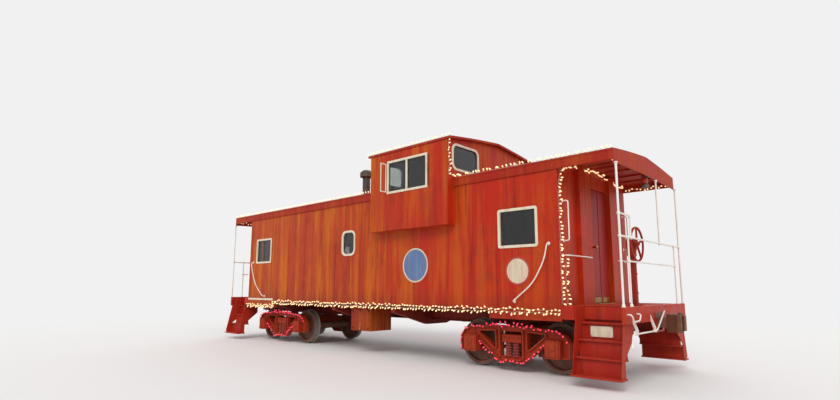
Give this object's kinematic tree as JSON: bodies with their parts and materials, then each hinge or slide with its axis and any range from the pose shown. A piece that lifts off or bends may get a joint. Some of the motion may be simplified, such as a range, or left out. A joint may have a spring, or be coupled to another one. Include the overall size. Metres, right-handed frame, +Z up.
{
  "type": "cupola caboose",
  "caption": "Steel extended-vision railway caboose with a wide cupola, end platforms, steps, railings and swivelling trucks.",
  "frame": {"origin": "centre of the car on the plane of the wheel flange tips", "axes": "+X along the car towards its A end (the end nearer the cupola), +Y to the far side, +Z up"},
  "size_m": [12.4654, 3.592, 4.51],
  "materials": {
    "body_red": "weathered gloss",
    "roof_red": "weathered satin",
    "frame_red": "dusty satin",
    "step_red": "satin",
    "door_crimson": "satin",
    "cream_paint": "satin",
    "white_paint": "satin",
    "window_glass": "clear",
    "floor_board": "worn",
    "cabin_wood": "varnished",
    "stove_iron": "blacked iron",
    "jack_black": "sooty matt",
    "truck_red": "painted casting",
    "spring_steel": "painted steel",
    "wheel_steel": "brown rust with worn treads",
    "coupler_iron": "rust brown casting"
  },
  "bodies": {
    "car_body": {"centre_sill": "frame_red", "body_bolsters": "frame_red", "cross_members": "frame_red", "floor_frame": "frame_red", "floor": "floor_board", "side_wall_near": "body_red", "side_wall_far": "body_red", "window_frames": "cream_paint", "window_glass": "window_glass", "end_wall_a": "body_red", "end_wall_b": "body_red", "roof_a": "roof_red", "roof_b": "roof_red", "cupola_side_near": "body_red", "cupola_side_far": "body_red", "cupola_end_a": "body_red", "cupola_end_b": "body_red", "cupola_roof": "roof_red", "cabin_furniture": "cabin_wood", "stove": "stove_iron", "wind_deflectors": "cream_paint", "smoke_jack": "jack_black", "platform_a": "step_red", "platform_b": "step_red", "steps_a": "step_red", "steps_b": "step_red", "end_railing_a": "white_paint", "end_railing_b": "white_paint", "brake_stands": "frame_red", "couplers": "coupler_iron", "uncoupling_levers": "white_paint", "grab_irons": "white_paint", "tool_box": "body_red", "brake_gear": "frame_red"},
    "door_a": {"door_a": "door_crimson"},
    "door_b": {"door_b": "door_crimson"},
    "truck_a": {"truck_a_side_frames": "truck_red", "truck_a_bolster": "truck_red", "truck_a_springs": "spring_steel", "truck_a_brake_beams": "truck_red"},
    "wheelset_a1": {"wheelset_a1": "wheel_steel"},
    "wheelset_a2": {"wheelset_a2": "wheel_steel"},
    "truck_b": {"truck_b_side_frames": "truck_red", "truck_b_bolster": "truck_red", "truck_b_springs": "spring_steel", "truck_b_brake_beams": "truck_red"},
    "wheelset_b1": {"wheelset_b1": "wheel_steel"},
    "wheelset_b2": {"wheelset_b2": "wheel_steel"}
  },
  "joints": [
    {"name": "truck_a_swivel", "type": "hinge", "parent": "car_body", "child": "truck_a", "pos_m": [3.674, 0, 0.67], "axis": [0, 0, 1], "range_deg": [-8, 8]},
    {"name": "wheelset_a1_spin", "type": "hinge", "parent": "truck_a", "child": "wheelset_a1", "pos_m": [4.512, 0, 0.4444], "axis": [0, 1, 0], "continuous": true},
    {"name": "wheelset_a2_spin", "type": "hinge", "parent": "truck_a", "child": "wheelset_a2", "pos_m": [2.836, 0, 0.4444], "axis": [0, 1, 0], "continuous": true},
    {"name": "door_a_swing", "type": "hinge", "parent": "car_body", "child": "door_a", "pos_m": [4.77, 0.528, 1.18], "axis": [0, 0, -1], "range_deg": [0, 95]},
    {"name": "truck_b_swivel", "type": "hinge", "parent": "car_body", "child": "truck_b", "pos_m": [-3.674, 0, 0.67], "axis": [0, 0, 1], "range_deg": [-8, 8]},
    {"name": "wheelset_b1_spin", "type": "hinge", "parent": "truck_b", "child": "wheelset_b1", "pos_m": [-4.512, 0, 0.4444], "axis": [0, 1, 0], "continuous": true},
    {"name": "wheelset_b2_spin", "type": "hinge", "parent": "truck_b", "child": "wheelset_b2", "pos_m": [-2.836, 0, 0.4444], "axis": [0, 1, 0], "continuous": true},
    {"name": "door_b_swing", "type": "hinge", "parent": "car_body", "child": "door_b", "pos_m": [-4.77, -0.528, 1.18], "axis": [0, 0, -1], "range_deg": [0, 95]}
  ]
}
